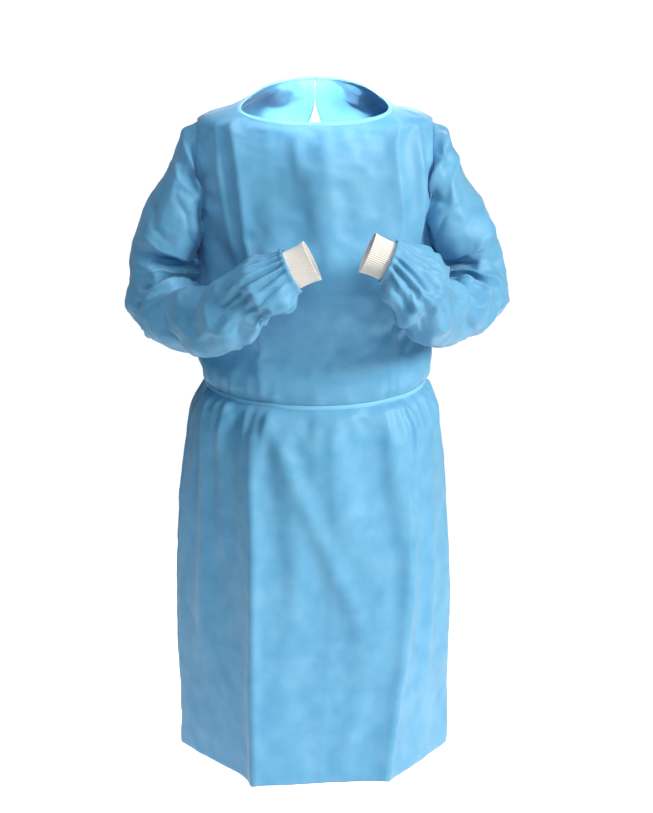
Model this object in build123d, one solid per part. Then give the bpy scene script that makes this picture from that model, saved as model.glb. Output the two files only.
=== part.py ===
"""Disposable isolation gown, a laboratory overgown, in its worn shape with both forearms in front.

Frame: +Z up, the gown faces -Y, +X is the wearer's left. The origin is on the shoulder line, in the
middle of the neck opening, where the wearer's shoulders carry the gown. Sizes are millimetres.
"""
import math
import os
from functools import cache

from build123d import *

# ---- cloth and seams -------------------------------------------------------------------------
cloth = 1.2            # wall of a cloth panel, with its folds and wrinkles
gap = 0.3              # air between two sewn pieces
seam_allowance = 9.0   # width of an overlocked seam inside the gown
seam_thick = 1.2       # plies of an overlocked seam
seam_line = -8.0       # where front and back meet, in Y

# ---- body, as ellipses from the neck down: height, half width, half depth, centre Y ------------
body_top = 40.0
neck_half_width = 96.0
neck_half_depth = 88.0
shoulder_half_width = 194.0
shoulder_drop = 46.0
waist_half_width = 180.0
waist_height = -468.0
hip_half_width = 224.0
hem_half_width = 222.0
hem_height = -1110.0
body_stations = [
    (hem_height - 20.0, hem_half_width, 187.0, -16.0),
    (-830.0, 229.0, 180.0, -15.0),
    (-640.0, hip_half_width, 167.0, -13.0),
    (waist_height - 62.0, 208.0, 147.0, -11.0),
    (waist_height, waist_half_width, 124.0, -9.0),
    (-380.0, 186.0, 131.0, -11.0),
    (-260.0, 190.0, 136.0, -12.0),
    (-200.0, 200.0, 133.0, -12.0),
    (-120.0, 204.0, 127.0, -11.0),
    (-shoulder_drop, shoulder_half_width, 110.0, -8.0),
    (0.0, neck_half_width, neck_half_depth, -6.0),
    (body_top, 62.0, 64.0, 2.0),
]
body_sections = 40     # evenly spaced sections of the loft

# ---- neckline: a plane tilted forward, and the binding folded over its edge ----------------------
neck_tilt = 15.0       # degrees
neck_level = -3.0      # height of the neckline at the shoulders
binding_height = 6.5
binding_thick = 1.2

# ---- back opening: its half gap at heights, from the neck tie to the hem -------------------------
closed_gap = 1.2
back_gap = [(closed_gap, 60.0), (closed_gap, -4.0), (14.0, -75.0), (21.0, -200.0), (9.0, -380.0),
            (2.5, waist_height), (7.0, -560.0), (20.0, -840.0), (30.0, hem_height - 60.0)]

# ---- sleeves: centre, half size in the plane of the bent arm, half size across it ----------------
# The right sleeve reaches across the chest; the left one points further forward.
armhole_x = 188.5      # the flat cut that the sleeve is sewn to
armhole_bottom = -330.0
first_leans = (0.0, 11.5, 42.0)   # degrees each of the first stations faces below level
cuff_rises = {"right": 25.8, "left": 24.1}   # degrees the cuffs, level with X, point above it
elbow_station = 4      # the station that lies in the elbow's mitre
sleeves = {
    "right": [
        (-armhole_x - gap, -10.0, -150.0, 104.0, 47.0),
        (-212.0, -9.0, -171.0, 74.0, 64.0),
        (-244.0, -8.0, -217.0, 58.0, 74.0),
        (-258.0, -14.0, -270.0, 51.0, 64.0),
        (-256.0, -48.0, -327.0, 54.0, 60.0),
        (-218.0, -114.0, -336.0, 50.0, 54.0),
        (-163.0, -181.0, -327.0, 60.0, 52.0),
        (-97.0, -222.0, -282.0, 54.0, 46.0),
        (-41.0, -230.0, -246.0, 35.0, 35.0),
    ],
    "left": [
        (armhole_x + gap, -10.0, -150.0, 104.0, 47.0),
        (212.0, -9.0, -171.0, 75.0, 64.0),
        (244.0, -8.0, -217.0, 59.0, 74.0),
        (258.0, -14.0, -268.0, 50.0, 64.0),
        (255.0, -48.0, -322.0, 52.0, 60.0),
        (226.0, -108.0, -328.0, 50.0, 54.0),
        (191.0, -172.0, -315.0, 55.0, 52.0),
        (158.0, -226.0, -268.0, 56.0, 47.0),
        (119.0, -236.0, -231.0, 35.0, 35.0),
    ],
}

# ---- knit cuffs ----------------------------------------------------------------------------------
cuff_outer_radius = 32.0
cuff_wall = 2.0
cuff_length = 46.0
cuff_tucked = 4.0      # the length sewn inside the sleeve's end
cuff_seam_width = 6.0
cuff_seam_thick = 3.7

# ---- ties ----------------------------------------------------------------------------------------
waist_tie_width = 7.0
waist_tie_thick = 2.2
waist_tie_tilt = 8.0   # degrees, lower in front
tack_width = 12.0
tack_thick = 0.9
tack_foot = 4.0
knot_width, knot_depth, knot_height, knot_round = 20.0, 9.0, 13.0, 1.5
tie_end_width = 7.0
tie_end_thick = 2.4
tie_end_inset = 5.0    # each end leaves its knot this far from the middle
tie_end_clear = 0.8    # and starts this far below it
neck_knot_height = 14.0
neck_knot_stand = 2.7  # how far the neck knot's back stands off the cloth
# Each tie end from its knot down: sideways, clearance from the cloth, and drop below the knot.
neck_end_route = [(0.0, 3.4, 0.0), (3.0, 4.0, 26.0), (10.0, 4.4, 62.0), (16.0, 4.0, 104.0),
                  (19.0, 4.4, 150.0), (25.0, 4.6, 192.0), (27.0, 4.2, 226.0)]
waist_end_route = [(0.0, 4.6, 0.0), (2.0, 5.2, 24.0), (7.0, 5.6, 60.0), (14.0, 5.0, 106.0),
                   (16.0, 5.2, 158.0), (22.0, 5.4, 206.0), (24.0, 5.0, 250.0), (29.0, 5.0, 286.0)]

FAR = 2000.0
end_overrun = 3.0      # how far a sleeve's inner volume runs past its ends


def between(x, points):
    """A monotone cubic through rising points (x, y), which never overshoots them."""
    xs, ys = zip(*points)
    steps = [b - a for a, b in zip(xs, xs[1:])]
    slopes = [(b - a) / step for a, b, step in zip(ys, ys[1:], steps)]
    turns = [slopes[0]]
    for before, after, s0, s1 in zip(steps, steps[1:], slopes, slopes[1:]):
        w0, w1 = 2 * after + before, after + 2 * before
        turns.append((w0 + w1) / (w0 / s0 + w1 / s1) if s0 * s1 > 0 else 0.0)
    turns.append(slopes[-1])
    k = max(i for i in range(len(steps)) if i == 0 or xs[i] <= x)
    t = (x - xs[k]) / steps[k]
    rise = t * t * (3 - 2 * t)
    lead_in, lead_out = t * (1 - t) ** 2, t * t * (t - 1)
    return (ys[k] * (1 - rise) + ys[k + 1] * rise
            + steps[k] * (turns[k] * lead_in + turns[k + 1] * lead_out))


def body_at(z):
    """Half width, half depth and centre Y of the body at a height."""
    return [between(z, [(s[0], s[column]) for s in body_stations]) for column in (1, 2, 3)]


@cache
def body_solid(out):
    """The body's volume, grown by out on every side and raised by it."""
    lowest, highest = body_stations[0][0], body_stations[-1][0]
    faces = []
    for i in range(body_sections):
        z = lowest + (highest - lowest) * i / (body_sections - 1)
        half_width, half_depth, centre = body_at(z)
        faces.append(Plane((0, centre, z + out)) * Ellipse(half_width + out, half_depth + out))
    return loft(faces)


def block(x=(-FAR, FAR), y=(-FAR, FAR), z=(-FAR, FAR)):
    """A box between limits."""
    sizes = [high - low for low, high in (x, y, z)]
    middle = [(high + low) / 2 for low, high in (x, y, z)]
    return Pos(*middle) * Box(*sizes)


def beyond(plane, level=0.0):
    """Everything on the positive side of a plane, from a level along its normal."""
    return plane * Pos(0, 0, FAR / 2 + level) * Box(FAR, FAR, FAR)


def layer(plane, low, high):
    """Everything between two levels of a plane."""
    return plane * Pos(0, 0, (low + high) / 2) * Box(FAR, FAR, high - low)


def neck_plane():
    """The neckline's plane, facing up."""
    lean = math.radians(neck_tilt)
    return Plane((0, 0, neck_level), x_dir=(1, 0, 0), z_dir=(0, -math.sin(lean), math.cos(lean)))


def waist_plane():
    """The waist tie's plane, facing up."""
    lean = math.radians(waist_tie_tilt)
    return Plane((0, 0, waist_height), x_dir=(1, 0, 0), z_dir=(0, -math.sin(lean), math.cos(lean)))


def back_slot(extra=0.0):
    """The prism that opens the back, wider by extra on each side."""
    right = [(half + extra, z) for half, z in back_gap]
    left = [(-x, z) for x, z in reversed(right)]
    return extrude(Plane.XZ * Polygon(*right, *left, align=None), amount=FAR / 2, dir=(0, 1, 0))


@cache
def shell(outer, inner):
    """The body's hollow skin between two offsets, from the hem up to the neckline."""
    skin = body_solid(outer) - body_solid(inner)
    return skin & block(z=(hem_height, FAR)) - beyond(neck_plane())


@cache
def stations_of(side):
    """The planes of a sleeve's stations, across the bent arm in X, with their half sizes."""
    centres = [Vector(*s[:3]) for s in sleeves[side]]
    last = len(centres) - 1
    sign = 1 if side == "left" else -1
    tangents = []
    for i in range(last + 1):
        before, after = centres[max(i - 1, 0)], centres[min(i + 1, last)]
        tangent = (after - before).normalized()
        if i < len(first_leans):
            lean = math.radians(first_leans[i])
            tangent = Vector(sign * math.cos(lean), 0, -math.sin(lean))
        if i == last:
            rise = math.radians(cuff_rises[side])
            tangent = Vector(-sign * math.cos(rise), 0, math.sin(rise))
        tangents.append(tangent)
    bend_axis = tangents[elbow_station - 1].cross(tangents[elbow_station + 1]).normalized()
    front = Vector(0, -1 if bend_axis.Y < 0 else 1, 0)
    planes = []
    for i, tangent in enumerate(tangents):
        share = min(1.0, i / elbow_station)
        across = front * (1 - share) + bend_axis * share
        across = across - tangent * across.dot(tangent)
        planes.append(Plane(centres[i], x_dir=across, z_dir=tangent))
    return [(plane, s[4], s[3]) for plane, s in zip(planes, sleeves[side])]


@cache
def sleeve_solid(side, out):
    """A sleeve's volume from inside the body to the cuff seam, grown by out round it."""
    stations = stations_of(side)
    last = len(stations) - 1
    longer = end_overrun - out if out < 0 else 0.0
    faces = []
    for i, (plane, half_across, half_up) in enumerate(stations):
        level = longer if i == last else -longer if i == 0 else 0.0
        faces.append(plane.offset(level) * Ellipse(half_across + out, half_up + out))
    return loft(faces, ruled=True)


def elbow_plane(side):
    """The mitre plane at the elbow, facing the cuff."""
    return stations_of(side)[elbow_station][0]


def cuff_plane(side):
    """The plane of the cuff seam, facing the cuff's mouth."""
    return stations_of(side)[-1][0]


def hinge_line(side):
    """A point and a direction of the elbow hinge, on the outside of the elbow."""
    plane, _, half_up = stations_of(side)[elbow_station]
    return plane.origin + plane.y_dir * half_up, plane.x_dir


def halves(shape, side):
    """The upper-arm and the forearm part of something in a sleeve."""
    mitre = elbow_plane(side)
    return shape - beyond(mitre, -gap / 2), shape & beyond(mitre, gap / 2)


def beside(side, low, high):
    """Everything between two distances from the middle, on one side."""
    return block(x=(low, high) if side == "left" else (-high, -low))


# ---- body panels -----------------------------------------------------------------------------

def armholes():
    """The two flat cuts that open the armholes."""
    cut = {side: beside(side, armhole_x, FAR) & block(z=(armhole_bottom, FAR)) for side in sleeves}
    return cut["left"] + cut["right"]


def front_panel():
    return (shell(0.0, -cloth) & block(y=(-FAR, seam_line - gap / 2))) - armholes()


def back_panel(side):
    half = block(y=(seam_line + gap / 2, FAR)) & beside(side, 0.0, FAR)
    return (shell(0.0, -cloth) & half) - armholes() - back_slot()


def neck_binding():
    """A folded band over the neckline's edge, open at the back."""
    plane = neck_plane()
    proud = binding_thick + gap
    band = layer(plane, -binding_height, proud)
    wall = (body_solid(proud) & band) - body_solid(-cloth - proud)
    room = (body_solid(gap) & layer(plane, -binding_height - 1, gap)) - body_solid(-cloth - gap)
    return wall - room - back_slot()


# ---- seams inside the gown ---------------------------------------------------------------------

@cache
def seam_skin():
    """The layer just inside the cloth that the overlocked seams lie in."""
    return body_solid(-cloth - gap) - body_solid(-cloth - gap - seam_thick)


def body_seam(side, z):
    """A flat seam along the line where front and back meet, between two heights."""
    half = seam_allowance / 2
    strip = block(y=(seam_line - half, seam_line + half), z=z) & beside(side, 0.0, FAR)
    return (seam_skin() & strip) - armholes()


def shoulder_seam(side):
    seam = body_seam(side, (sleeves[side][0][2], FAR))
    return seam - beyond(neck_plane(), -binding_height - gap)


def side_seam(side):
    return body_seam(side, (hem_height + gap, sleeves[side][0][2]))


@cache
def sleeve_seam_skin(side):
    """The layer just inside a sleeve's cloth, as an upper-arm and a forearm part."""
    inner = -cloth - gap
    return halves(sleeve_solid(side, inner) - sleeve_solid(side, inner - seam_thick), side)


def armhole_seam(side):
    """The seam allowance where sleeve and body join, turned into the sleeve."""
    upper, _ = sleeve_seam_skin(side)
    bands = upper & beside(side, armhole_x + gap, armhole_x + seam_allowance)
    return max(bands.solids(), key=lambda band: band.volume)


# ---- sleeves and cuffs -------------------------------------------------------------------------

def sleeve(side):
    return halves(sleeve_solid(side, 0.0) - sleeve_solid(side, -cloth), side)


def underarm_seam(side):
    """The overlocked seam along the inside of a sleeve: below the arm, then in the elbow's bend."""
    armhole, elbow = stations_of(side)[0][0], elbow_plane(side)
    below = Plane(armhole.origin, x_dir=armhole.z_dir, z_dir=(0, 1, 0))
    bend = Plane(elbow.origin, x_dir=elbow.z_dir, z_dir=elbow.x_dir)
    crook = (armhole.origin + cuff_plane(side).origin) / 2
    upper, forearm = sleeve_seam_skin(side)
    upper = upper - beside(side, 0.0, armhole_x + seam_allowance + gap)
    forearm = forearm - beyond(cuff_plane(side), -cuff_tucked - gap)
    seams = []
    for skin, line in ((upper, below), (forearm, bend)):
        strips = skin & layer(line, -seam_allowance / 2, seam_allowance / 2)
        long_strips = sorted(strips.solids(), key=lambda strip: strip.volume)[-2:]
        seams.append(min(long_strips, key=lambda strip: (strip.center() - crook).length))
    return seams


def tube(plane, outer, inner, start, end):
    """A round tube on a plane's axis, from start to end."""
    return extrude(plane.offset(start) * (Circle(outer) - Circle(inner)), amount=end - start)


def knit_cuff(side):
    return tube(cuff_plane(side), cuff_outer_radius, cuff_outer_radius - cuff_wall,
                -cuff_tucked, cuff_length - cuff_tucked)


def cuff_seam(side):
    inner = cuff_outer_radius + gap
    return tube(cuff_plane(side), inner + cuff_seam_thick, inner, gap, gap + cuff_seam_width)


# ---- ties ----------------------------------------------------------------------------------------

def waist_ring(outer, inner, half_height):
    """A ring round the waist between two offsets."""
    band = layer(waist_plane(), -half_height, half_height)
    return (body_solid(outer) & band) - body_solid(inner)


def waist_tie():
    return waist_ring(gap + waist_tie_thick, gap, waist_tie_width / 2)


def waist_tie_tacks():
    """A bar tack over the tie at each side seam."""
    half = waist_tie_width / 2
    over = waist_tie_thick + 2 * gap
    bridge = waist_ring(over + tack_thick, gap, half + tack_foot)
    room = waist_ring(over, -gap, half + gap)
    spot = block(y=(seam_line - tack_width / 2, seam_line + tack_width / 2))
    return (bridge & spot) - room


def back_y(z):
    """Where the cloth of the back is at a height."""
    _, half_depth, centre = body_at(z)
    return centre + half_depth


def knot_place(tied):
    """The middle of a knot at the back."""
    if tied == "neck":
        y = back_y(neck_knot_height) + knot_depth / 2 + neck_knot_stand
        return Vector(0, y, neck_knot_height)
    lean = math.tan(math.radians(waist_tie_tilt))
    y = back_y(waist_height)
    z = waist_height + y * lean
    return Vector(0, back_y(z) + waist_tie_thick + 2 * gap + knot_depth / 2, z)


def tie_knot(tied):
    knot = Box(knot_width, knot_depth, knot_height)
    knot = Pos(*knot_place(tied)) * fillet(knot.edges(), knot_round)
    proud = binding_thick + 2 * gap if tied == "neck" else waist_tie_thick + 2 * gap
    return knot - body_solid(proud)


def tie_route(tied, side):
    """The points that a loose tie end follows, from its knot down the back."""
    route = neck_end_route if tied == "neck" else waist_end_route
    sign = 1 if side == "left" else -1
    knot = knot_place(tied)
    exit_z = knot.Z - knot_height / 2
    points = []
    for sideways, clear, drop in route:
        z = exit_z - tie_end_clear - drop
        y = knot.Y if drop == 0 else back_y(z) + clear
        points.append(Vector(sign * (tie_end_inset + sideways), y, z))
    return points


def corner_radii(points):
    """The largest tangent arc for each corner of a route."""
    radii = []
    for a, b, c in zip(points, points[1:], points[2:]):
        turn = math.radians((b - a).get_angle(c - b))
        radii.append(0.45 * min((b - a).length, (c - b).length) / math.tan(turn / 2))
    return radii


def tie_end(tied, side):
    """A loose tie end: a flat ribbon along straight runs and tangent arcs."""
    points = tie_route(tied, side)
    radii = corner_radii(points)
    path = FilletPolyline(*points, radius=radii)
    start = Plane(path @ 0, x_dir=(1, 0, 0), z_dir=path % 0)
    ribbon = sweep(start * Rectangle(tie_end_width, tie_end_thick), path=path)
    share = ribbon.volume / (tie_end_width * tie_end_thick * path.length)
    print(f"{tied} end {side}: length {path.length:.1f}, volume share {share:.3f}, radii",
          [round(r) for r in radii])
    return ribbon


def save(node, shape):
    """Writes one node."""
    solids = list(shape.solids())
    whole = solids[0] if len(solids) == 1 else Compound(children=solids)
    whole.label = node
    export_step(whole, f"parts/{node}.step")


if __name__ == "__main__":
    os.makedirs("parts", exist_ok=True)
    save("front_panel", front_panel())
    save("neck_binding", neck_binding())
    save("waist_tie", waist_tie())
    save("waist_tie_tacks", waist_tie_tacks())
    for tied in ("neck", "waist"):
        save(f"{tied}_tie_knot", tie_knot(tied))
        for side in ("left", "right"):
            save(f"{tied}_tie_end_{side}", tie_end(tied, side))
    for side in ("left", "right"):
        save(f"back_panel_{side}", back_panel(side))
        save(f"shoulder_seam_{side}", shoulder_seam(side))
        save(f"side_seam_{side}", side_seam(side))
        save(f"armhole_seam_{side}", armhole_seam(side))
        upper, forearm = sleeve(side)
        save(f"sleeve_upper_{side}", upper)
        save(f"sleeve_forearm_{side}", forearm)
        upper, forearm = underarm_seam(side)
        save(f"underarm_seam_upper_{side}", upper)
        save(f"underarm_seam_forearm_{side}", forearm)
        save(f"knit_cuff_{side}", knit_cuff(side))
        save(f"cuff_seam_{side}", cuff_seam(side))
        point, axis = hinge_line(side)
        print(f"elbow {side}: point {tuple(point)}, axis {tuple(axis)}")
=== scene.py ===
"""A disposable isolation gown as it is worn: nonwoven panels with pressed creases, puffed sleeves
bent at the elbow, rib knit cuffs, a bound neckline and tape ties. Metres, +Z up, front to -Y."""
import math

import bmesh
import bpy
import numpy as np
from mathutils import Matrix, Vector, noise


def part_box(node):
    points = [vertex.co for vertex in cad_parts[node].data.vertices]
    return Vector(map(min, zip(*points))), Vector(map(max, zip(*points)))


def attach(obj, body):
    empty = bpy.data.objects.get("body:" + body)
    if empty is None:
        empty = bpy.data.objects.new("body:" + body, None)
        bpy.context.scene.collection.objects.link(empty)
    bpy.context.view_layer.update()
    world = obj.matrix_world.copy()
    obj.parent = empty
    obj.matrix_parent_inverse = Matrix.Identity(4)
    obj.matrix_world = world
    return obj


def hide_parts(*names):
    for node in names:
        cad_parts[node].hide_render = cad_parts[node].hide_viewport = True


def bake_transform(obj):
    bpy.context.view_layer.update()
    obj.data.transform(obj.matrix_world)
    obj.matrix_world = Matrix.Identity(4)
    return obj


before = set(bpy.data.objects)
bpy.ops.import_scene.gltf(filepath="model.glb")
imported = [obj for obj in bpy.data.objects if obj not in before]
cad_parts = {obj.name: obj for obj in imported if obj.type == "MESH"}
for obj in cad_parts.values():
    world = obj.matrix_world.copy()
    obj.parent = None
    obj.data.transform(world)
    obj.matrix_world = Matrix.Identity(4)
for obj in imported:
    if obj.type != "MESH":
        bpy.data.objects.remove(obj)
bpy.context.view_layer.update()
SIDES = {"left": 1, "right": -1}

# ---- the body's form: height, half width, half depth, centre Y ----
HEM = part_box("front_panel")[0][2]
WAIST = -0.468
WAIST_TILT = math.tan(math.radians(8.0))
NECK_TILT = math.tan(math.radians(15.0))
NECK_LEVEL = -0.003
FORM = [(-1.130, .222, .187, -.016), (-.830, .229, .180, -.015), (-.640, .224, .167, -.013),
        (-.530, .208, .147, -.011), (-.468, .180, .124, -.009), (-.380, .186, .131, -.011),
        (-.260, .190, .136, -.012), (-.200, .200, .133, -.012), (-.120, .204, .127, -.011),
        (-.046, .194, .110, -.008), (0.0, .096, .088, -.006), (.040, .062, .064, .002)]
# Where the pressed creases run, as a share of the half width, and how far the skirt is faceted.
CREASES = [(-1.13, -.42, .53), (-.75, -.42, .68), (-.53, -.46, .69), (-.42, -.46, .64),
           (-.20, -.55, .68), (-.08, -.62, .64), (-.02, -.72, .74), (.04, -.80, .85)]
FACETS = [(-1.13, 1.0), (-.95, .85), (-.70, .6), (-.56, .35), (-.47, 0.0), (-.40, .10), (-.2, .05),
          (.04, 0.0)]
SLIT = [(-1.13, .030), (-.84, .020), (-.56, .007), (-.468, .0026), (-.38, .009), (-.20, .021),
        (-.075, .014), (-.02, .0013), (.04, .0012)]

# ---- sleeves: centre, half size in the plane of the bent arm, half size across it ----
ARMHOLE_X = .1885
SLEEVES = {
    "right": [(-.1888, -.010, -.150, .104, .047), (-.212, -.009, -.171, .074, .064),
              (-.244, -.008, -.217, .058, .074), (-.258, -.014, -.270, .051, .064),
              (-.256, -.048, -.327, .054, .060), (-.218, -.114, -.336, .050, .054),
              (-.163, -.181, -.327, .060, .052), (-.097, -.222, -.282, .054, .046),
              (-.041, -.230, -.246, .035, .035)],
    "left": [(.1888, -.010, -.150, .104, .047), (.212, -.009, -.171, .075, .064),
             (.244, -.008, -.217, .059, .074), (.258, -.014, -.268, .050, .064),
             (.255, -.048, -.322, .052, .060), (.226, -.108, -.328, .050, .054),
             (.191, -.172, -.315, .055, .052), (.158, -.226, -.268, .056, .047),
             (.119, -.236, -.231, .035, .035)],
}
FIRST_LEANS = (0.0, 11.5, 42.0)
CUFF_RISES = {"right": 25.8, "left": 24.1}
ELBOW = 4
BLEND_REACH = .055


def steady(points, column=1):
    """A function through rising points that never overshoots them (monotone cubic)."""
    xs = np.array([p[0] for p in points], float)
    ys = np.array([p[column] for p in points], float)
    step, slope = np.diff(xs), np.diff(ys) / np.diff(xs)
    turn = np.concatenate([[slope[0]], np.zeros(len(xs) - 2), [slope[-1]]])
    for i in range(1, len(xs) - 1):
        if slope[i - 1] * slope[i] > 0:
            w0, w1 = 2 * step[i] + step[i - 1], step[i] + 2 * step[i - 1]
            turn[i] = (w0 + w1) / (w0 / slope[i - 1] + w1 / slope[i])

    def value(x):
        x = np.clip(x, xs[0], xs[-1])
        k = np.clip(np.searchsorted(xs, x) - 1, 0, len(step) - 1)
        t = (x - xs[k]) / step[k]
        rise = t * t * (3 - 2 * t)
        bend = step[k] * (turn[k] * t * (1 - t) ** 2 + turn[k + 1] * t * t * (t - 1))
        return ys[k] * (1 - rise) + ys[k + 1] * rise + bend
    return value


half_width, half_depth, centre_y = (steady(FORM, i) for i in (1, 2, 3))
crease_left, crease_right = (steady(CREASES, i) for i in (1, 2))
facet_share, slit_half = steady(FACETS), steady(SLIT)


def bump(x, width):
    """A smooth hill of height 1 round 0."""
    return np.exp(-(x / width) ** 2)


def ridge(x, width):
    """A pressed crease: a sharp crest with soft flanks."""
    return np.exp(-np.abs(x) / width)


def smoothstep(low, high, x):
    t = np.clip((x - low) / (high - low), 0, 1)
    return t * t * (3 - 2 * t)


def cloud(points, size, seed, octaves=2):
    """Seeded noise at each point, from -1 to 1, with features of that size in metres."""
    shift = Vector((seed * 7.3, seed * 3.1, seed * 11.7))
    flat = points.reshape(-1, 3)
    found = [noise.fractal(Vector(p) / size + shift, .9, 2.1, octaves) for p in flat.tolist()]
    return np.array(found).reshape(points.shape[:-1])


def crumple(points, size, seed):
    """Crisp curved ridges between soft hollows, as thin stiff cloth crumples, from -1 to 1."""
    return 1 - 3.2 * np.abs(cloud(points, size, seed, 1))


def normals_of(points, closed):
    """Normals of a grid of points, whose rows run along axis 0 and columns along axis 1."""
    if closed:
        wide = np.concatenate([points[:, -1:], points, points[:, :1]], axis=1)
        du = wide[:, 2:] - wide[:, :-2]
    else:
        du = np.gradient(points, axis=1)
    dv = np.gradient(points, axis=0)
    n = np.cross(du, dv)
    return n / np.maximum(np.linalg.norm(n, axis=-1, keepdims=True), 1e-9)


# ---- the body as one grid: u goes round from the slit by the right side, front and left ----
# Marks on u: slit, right side seam, crease, crease, left side seam, slit. Each mark is a column.
MARKS = np.array([0.0, .25, .42, .59, .75, 1.0])
PROUD = (.010, .013, .003, 0)      # how far the marks' corners stand out of the round form
ARMHOLE = (-.010, -.150, .047, .104)      # centre Y and Z, half sizes


def body_angle(u, z):
    """The angle round the body for each column and height: half a turn is the right side."""
    slit = np.arcsin(np.clip(slit_half(z) / half_width(z), 0, .9))
    stops = [np.pi / 2 + slit, np.full_like(z, np.pi), 2 * np.pi - np.arccos(crease_left(z)),
             2 * np.pi - np.arccos(crease_right(z)), np.full_like(z, 2 * np.pi),
             2.5 * np.pi - slit]
    angle = np.zeros(np.broadcast(u, z).shape)
    for i in range(5):
        t = (u - MARKS[i]) / (MARKS[i + 1] - MARKS[i])
        angle = np.where((t >= 0) & (t <= 1), stops[i] * (1 - t) + stops[i + 1] * t, angle)
    return angle


def flat_sided(x, z):
    """The body's sides are flat where the sleeves are sewn on."""
    over = np.maximum(np.abs(x) - ARMHOLE_X, 0) * smoothstep(-.29, -.23, z)
    return x - np.sign(x) * over


def on_body(angle, z):
    return np.stack([flat_sided(half_width(z) * np.cos(angle), z),
                     centre_y(z) + half_depth(z) * np.sin(angle), z + 0 * angle], axis=-1)


def armhole_reach(points):
    """1 on the armhole's edge, less inside it, for points on the body's sides."""
    y, z, half_y, half_z = ARMHOLE
    reach = np.sqrt(((points[..., 1] - y) / half_y) ** 2 + ((points[..., 2] - z) / half_z) ** 2)
    return np.where(np.abs(points[..., 0]) > .13, reach, 9.0)


def body_form(u, v, folds=True):
    """The gown's body for grids u and v, v from 0 at the hem to 1 at the neckline."""
    rows = steady([(0, HEM), (.55, -.47), (.86, -.10), (.93, -.047), (1.0, -.004)])
    z = rows(v)
    for _ in range(4):
        y = on_body(body_angle(u, z), z)[..., 1]
        z = rows(v) + smoothstep(.70, 1.0, v) * (NECK_LEVEL + NECK_TILT * y + .004)
    points = on_body(body_angle(u, z), z)
    # Flat facets between the creases and the seams, more so towards the hem.
    share = facet_share(z)
    corners = []
    for mark, proud in zip(MARKS, (0,) + PROUD + (0,)):
        angle = body_angle(np.full_like(u, mark), z)
        away = np.stack([np.cos(angle), np.sin(angle), 0 * angle], axis=-1)
        corners.append(on_body(angle, z) + away * (share * proud)[..., None])
    spread = smoothstep(.08, .25, u) * (u < MARKS[1]) * share * PROUD[0]
    points = points + np.stack([-spread, 0 * u, 0 * u], axis=-1)
    for i in (1, 2, 3):
        t = (u - MARKS[i]) / (MARKS[i + 1] - MARKS[i])
        inside = ((t >= 0) & (t <= 1))[..., None]
        chord = corners[i] * (1 - t[..., None]) + corners[i + 1] * t[..., None]
        points = np.where(inside, points + (chord - points) * share[..., None], points)
    if not folds:
        return points
    tie = z - (WAIST + WAIST_TILT * points[..., 1])
    calm = smoothstep(1.0, 1.5, armhole_reach(points)) * smoothstep(1.0, .97, v)
    return points + normals_of(points, False) * (calm * body_folds(u, tie, z, points))[..., None]


# Short gathers at the tie: place on u, height, width, lean.
GATHERS = [(.300, .0070, .008, .05), (.324, .0090, .007, -.06), (.348, .0070, .006, .05),
           (.369, .0095, .008, .08), (.402, .0060, .008, -.05), (.4354, .0080, .009, .10),
           (.488, .0030, .011, .05), (.528, .0035, .011, -.05), (.572, .0050, .010, .05),
           (.607, .0090, .008, -.08), (.640, .0060, .008, .04), (.672, .0080, .009, .06),
           (.715, .0070, .008, -.05), (.770, .0080, .010, .05), (.830, .0070, .011, -.06),
           (.890, .0070, .010, .04), (.950, .0060, .010, -.04), (.050, .0060, .010, .04),
           (.110, .0070, .011, -.06), (.165, .0080, .010, .05), (.215, .0075, .009, -.05)]
# Long soft folds: u and z at the top, u and z at the foot, height, width in u.
LONG_FOLDS = [(.431, -.49, .539, -.86, .0050, .012), (.470, -.50, .585, -.95, .0070, .042),
              (.455, -.50, .465, -.78, .0030, .013),
              (.505, -.49, .520, -.70, .0035, .014), (.565, -.50, .605, -.86, .0045, .016),
              (.330, -.50, .315, -.90, .0050, .015), (.370, -.49, .358, -.75, .0040, .012),
              (.655, -.52, .662, -.95, .0045, .016), (.620, -.50, .612, -.72, .0035, .011),
              (.470, -.70, .452, -1.09, .0028, .018), (.550, -.88, .532, -1.10, .0028, .018),
              (.380, -.05, .398, -.28, .0040, .012), (.450, -.12, .456, -.42, .0030, .018),
              (.515, -.05, .490, -.40, .0060, .030), (.545, -.12, .552, -.40, .0025, .013),
              (.640, -.06, .628, -.30, .0040, .011), (.060, -.52, .050, -.95, .0060, .016),
              (.120, -.50, .130, -.92, .0070, .018), (.190, -.52, .180, -.98, .0060, .016),
              (.810, -.50, .820, -.95, .0060, .016), (.880, -.52, .870, -.92, .0070, .018),
              (.945, -.50, .950, -.90, .0060, .016), (.100, -.10, .120, -.44, .0040, .014),
              (.900, -.10, .880, -.44, .0040, .014)]


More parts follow.
